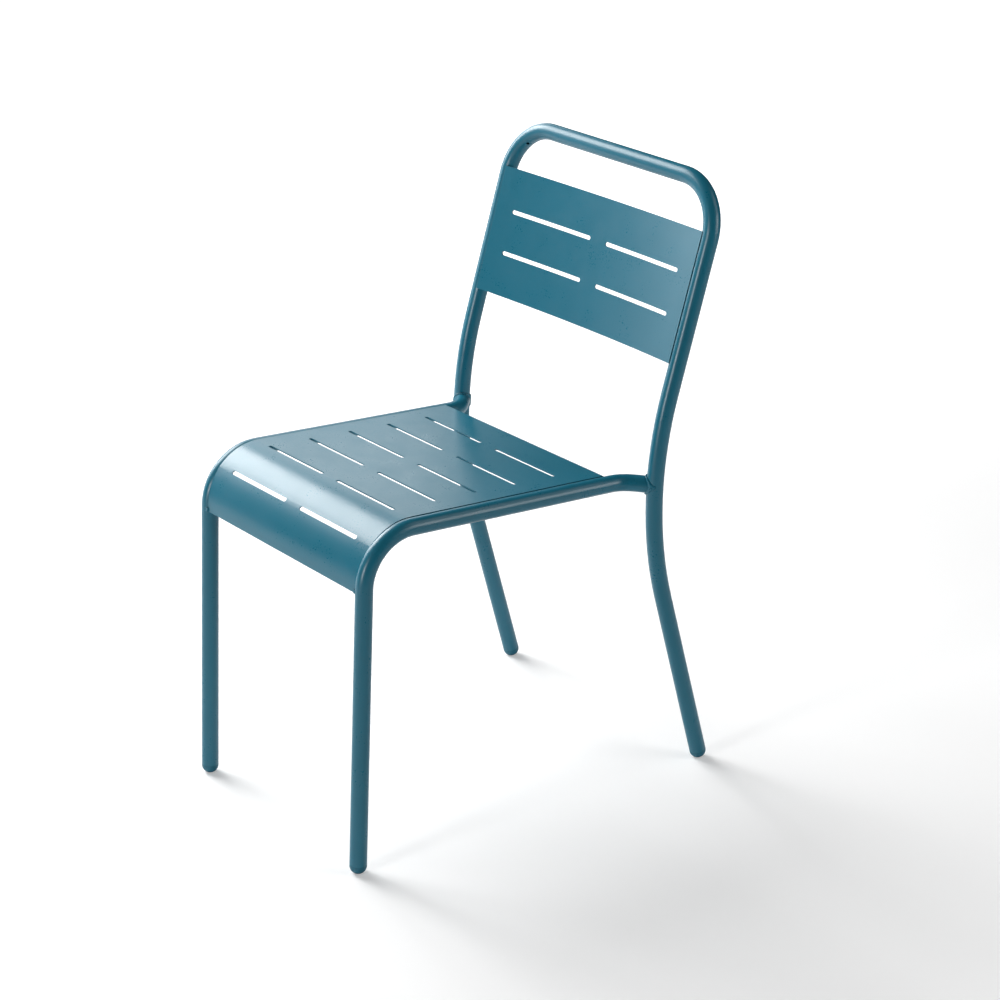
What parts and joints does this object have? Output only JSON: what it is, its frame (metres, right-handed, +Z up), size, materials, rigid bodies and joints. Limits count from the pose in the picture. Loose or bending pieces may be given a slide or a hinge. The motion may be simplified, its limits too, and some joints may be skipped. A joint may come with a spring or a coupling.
{
  "type": "stacking chair",
  "caption": "Armless stacking chair with a bent steel tube frame, a slotted folded-sheet seat with a front apron and a slotted curved back panel.",
  "frame": {"origin": "on the floor, at the centre of the chair's bounding box, which is the middle of its footprint", "axes": "+Z up; the sitter faces -Y; +X is the sitter's left; the chair is a mirror image of itself in the plane X = 0"},
  "size_m": [0.423, 0.5714, 0.7977],
  "materials": {
    "frame_paint": "satin petrol blue powder coat on steel tube",
    "sheet_paint": "satin petrol blue powder coat on steel sheet",
    "weld_paint": "satin petrol blue powder coat over weld beads",
    "glide_plastic": "moulded plastic in the frame's colour, lightly polished by the floor"
  },
  "bodies": {
    "root": {"rear_hoop": "frame_paint", "front_tube_left": "frame_paint", "front_tube_right": "frame_paint", "seat_plate": "sheet_paint", "back_panel": "sheet_paint", "glide_front_left": "glide_plastic", "glide_front_right": "glide_plastic", "glide_rear_left": "glide_plastic", "glide_rear_right": "glide_plastic", "weld_rail_left": "weld_paint", "weld_rail_right": "weld_paint", "weld_seat_corner_left": "weld_paint", "weld_seat_corner_right": "weld_paint", "weld_seat_front_left": "weld_paint", "weld_seat_front_right": "weld_paint", "weld_seat_middle_left": "weld_paint", "weld_seat_middle_right": "weld_paint", "weld_seat_rear_left": "weld_paint", "weld_seat_rear_right": "weld_paint", "weld_panel_lower_left": "weld_paint", "weld_panel_lower_right": "weld_paint", "weld_panel_upper_left": "weld_paint", "weld_panel_upper_right": "weld_paint"}
  },
  "joints": []
}
